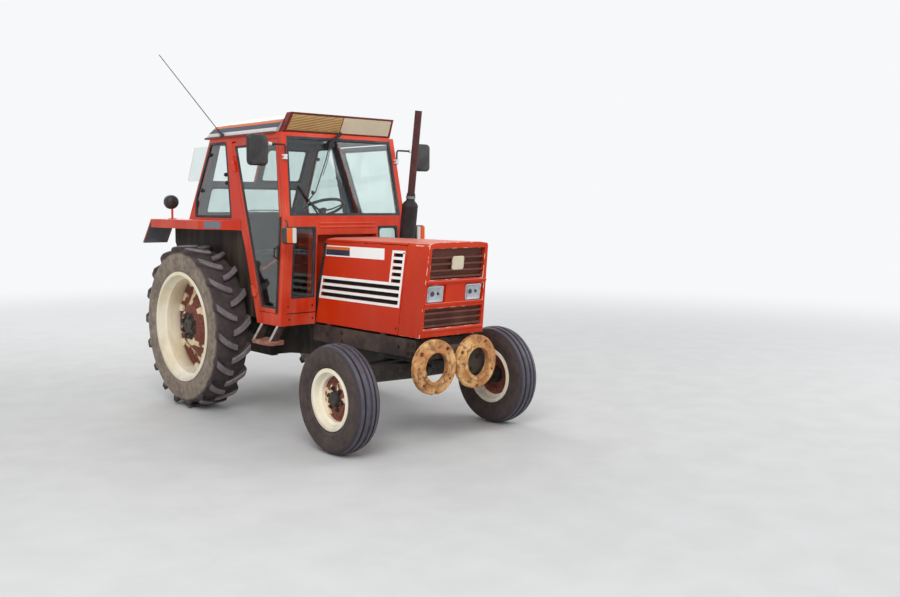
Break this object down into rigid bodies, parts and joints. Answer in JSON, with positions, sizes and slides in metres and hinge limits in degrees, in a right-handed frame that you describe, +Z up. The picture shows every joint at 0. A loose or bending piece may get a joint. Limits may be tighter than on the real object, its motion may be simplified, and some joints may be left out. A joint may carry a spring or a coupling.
{
  "type": "farm tractor",
  "caption": "Two-wheel-drive farm tractor with a glazed safety cab, flat fenders, long ribbed-grille bonnet, upright exhaust, ring front weights and a rear three-point linkage.",
  "frame": {"origin": "on the ground, at the middle of the tractor's box in plan", "axes": "+Z up; the tractor faces -Y; +X is the driver's left"},
  "size_m": [1.844, 3.64, 3.1909],
  "materials": {
    "red_paint": "worn semi-gloss",
    "roof_white": "semi-gloss",
    "wheel_cream": "worn semi-gloss",
    "cast_dark": "oily matt",
    "rail_dark": "worn matt",
    "rusty_iron": "rusted",
    "rusty_steel": "rusted",
    "tyre_rubber": "worn matt",
    "clear_glass": "clear",
    "lamp_glass": "ribbed",
    "grille_brown": "matt",
    "visor_tan": "matt",
    "black_plastic": "matt",
    "muffler_black": "heat-worn matt",
    "seat_cloth": "worn",
    "mirror_face": "matt",
    "indicator": "translucent look",
    "dark_steel": "worn"
  },
  "bodies": {
    "chassis": {"gearbox_case": "cast_dark", "rear_axle_housings": "cast_dark", "engine_block": "cast_dark", "front_frame": "rail_dark", "axle_support": "cast_dark", "front_axle_beam": "cast_dark", "weight_carrier": "rail_dark", "front_weights": "rusty_iron", "bonnet_bulkhead": "cast_dark", "bonnet_sides": "red_paint", "bonnet_nose": "red_paint", "grilles": "grille_brown", "headlamps": "lamp_glass", "exhaust": "muffler_black", "cab_side_frames": "red_paint", "cab_front_wall": "red_paint", "cab_rear_wall": "red_paint", "cab_floor": "cast_dark", "cab_roof": "roof_white", "roof_visor": "visor_tan", "windscreen": "clear_glass", "fixed_windows": "clear_glass", "rear_leaf": "clear_glass", "fenders": "red_paint", "dash_and_column": "black_plastic", "seat_base": "black_plastic", "seat_cushion": "seat_cloth", "seat_back": "seat_cloth", "levers": "black_plastic", "steps": "rusty_steel", "mirrors": "mirror_face", "indicator_lamps": "indicator", "rear_lamps": "black_plastic", "aerial": "black_plastic", "lift_housing": "cast_dark", "drawbar": "dark_steel", "pto_shaft": "dark_steel"},
    "wheel_rear_right": {"rear_rim_right": "wheel_cream", "rear_tyre_right": "tyre_rubber"},
    "wheel_rear_left": {"rear_rim_left": "wheel_cream", "rear_tyre_left": "tyre_rubber"},
    "knuckle_right_body": {"knuckle_right": "cast_dark"},
    "knuckle_left_body": {"knuckle_left": "cast_dark"},
    "tie_rod_body": {"tie_rod": "dark_steel"},
    "wheel_front_right": {"front_rim_right": "wheel_cream", "front_tyre_right": "tyre_rubber"},
    "wheel_front_left": {"front_rim_left": "wheel_cream", "front_tyre_left": "tyre_rubber"},
    "door_right": {"door_frame_right": "red_paint", "door_glass_right": "clear_glass"},
    "door_left": {"door_frame_left": "red_paint", "door_glass_left": "clear_glass"},
    "bonnet_lid": {"bonnet_top": "red_paint"},
    "steering_wheel_body": {"steering_wheel": "black_plastic"},
    "lower_links_body": {"lower_links": "cast_dark"},
    "lift_arms_body": {"lift_arms": "cast_dark"},
    "lift_rods_body": {"lift_rods": "cast_dark"},
    "top_link_body": {"top_link": "cast_dark"}
  },
  "joints": [
    {"name": "rear_right_spin", "type": "hinge", "parent": "chassis", "child": "wheel_rear_right", "pos_m": [-0.7645, 0.8, 0.711], "axis": [1, 0, 0], "continuous": true},
    {"name": "rear_left_spin", "type": "hinge", "parent": "chassis", "child": "wheel_rear_left", "pos_m": [0.7645, 0.8, 0.711], "axis": [1, 0, 0], "continuous": true},
    {"name": "steer_right", "type": "hinge", "parent": "chassis", "child": "knuckle_right_body", "pos_m": [-0.6, -1.4, 0.54], "axis": [0, 0, 1], "range_deg": [-45, 45]},
    {"name": "steer_left", "type": "hinge", "parent": "chassis", "child": "knuckle_left_body", "pos_m": [0.6, -1.4, 0.54], "axis": [0, 0, 1], "range_deg": [-45, 45]},
    {"name": "tie_rod_swing", "type": "hinge", "parent": "knuckle_right_body", "child": "tie_rod_body", "pos_m": [-0.6, -1.23, 0.589], "axis": [0, 0, 1], "range_deg": [-45, 45]},
    {"name": "front_right_spin", "type": "hinge", "parent": "knuckle_right_body", "child": "wheel_front_right", "pos_m": [-0.7925, -1.4, 0.397], "axis": [1, 0, 0], "continuous": true},
    {"name": "front_left_spin", "type": "hinge", "parent": "knuckle_left_body", "child": "wheel_front_left", "pos_m": [0.7925, -1.4, 0.397], "axis": [1, 0, 0], "continuous": true},
    {"name": "steering_turn", "type": "hinge", "parent": "chassis", "child": "steering_wheel_body", "pos_m": [0, -0.05, 1.745], "axis": [0, 0.3746, 0.9272], "range_deg": [-900, 900]},
    {"name": "door_left_hinge", "type": "hinge", "parent": "chassis", "child": "door_left", "pos_m": [0.62154, 0.18242, 1.60913], "axis": [-0.0551, 0.3688, 0.9279], "range_deg": [0, 70]},
    {"name": "door_right_hinge", "type": "hinge", "parent": "chassis", "child": "door_right", "pos_m": [-0.62154, 0.18242, 1.60913], "axis": [-0.0551, -0.3688, -0.9279], "range_deg": [0, 70]},
    {"name": "bonnet_hinge", "type": "hinge", "parent": "chassis", "child": "bonnet_lid", "pos_m": [0, -0.51921, 1.476], "axis": [-1, 0, 0], "range_deg": [0, 50]},
    {"name": "lower_links_lift", "type": "hinge", "parent": "chassis", "child": "lower_links_body", "pos_m": [0, 0.92, 0.46], "axis": [1, 0, 0], "range_deg": [-9, 18]},
    {"name": "lift_arms_turn", "type": "hinge", "parent": "chassis", "child": "lift_arms_body", "pos_m": [0, 1.27, 0.9], "axis": [1, 0, 0], "range_deg": [-16.56, 33.12]},
    {"name": "lift_rods_swing", "type": "hinge", "parent": "lift_arms_body", "child": "lift_rods_body", "pos_m": [0, 1.56344, 0.83763], "axis": [1, 0, 0], "range_deg": [-36.9, 18.45]},
    {"name": "top_link_swing", "type": "hinge", "parent": "chassis", "child": "top_link_body", "pos_m": [0, 1.397, 0.9], "axis": [-1, 0, 0], "range_deg": [0, 95]}
  ],
  "couplings": [
    {"joint": "steer_left", "follows": "steer_right", "ratio": 1},
    {"joint": "tie_rod_swing", "follows": "steer_right", "ratio": -1},
    {"joint": "steering_turn", "follows": "steer_right", "ratio": 20},
    {"joint": "lift_arms_turn", "follows": "lower_links_lift", "ratio": 1.84},
    {"joint": "lift_rods_swing", "follows": "lower_links_lift", "ratio": -2.05}
  ]
}
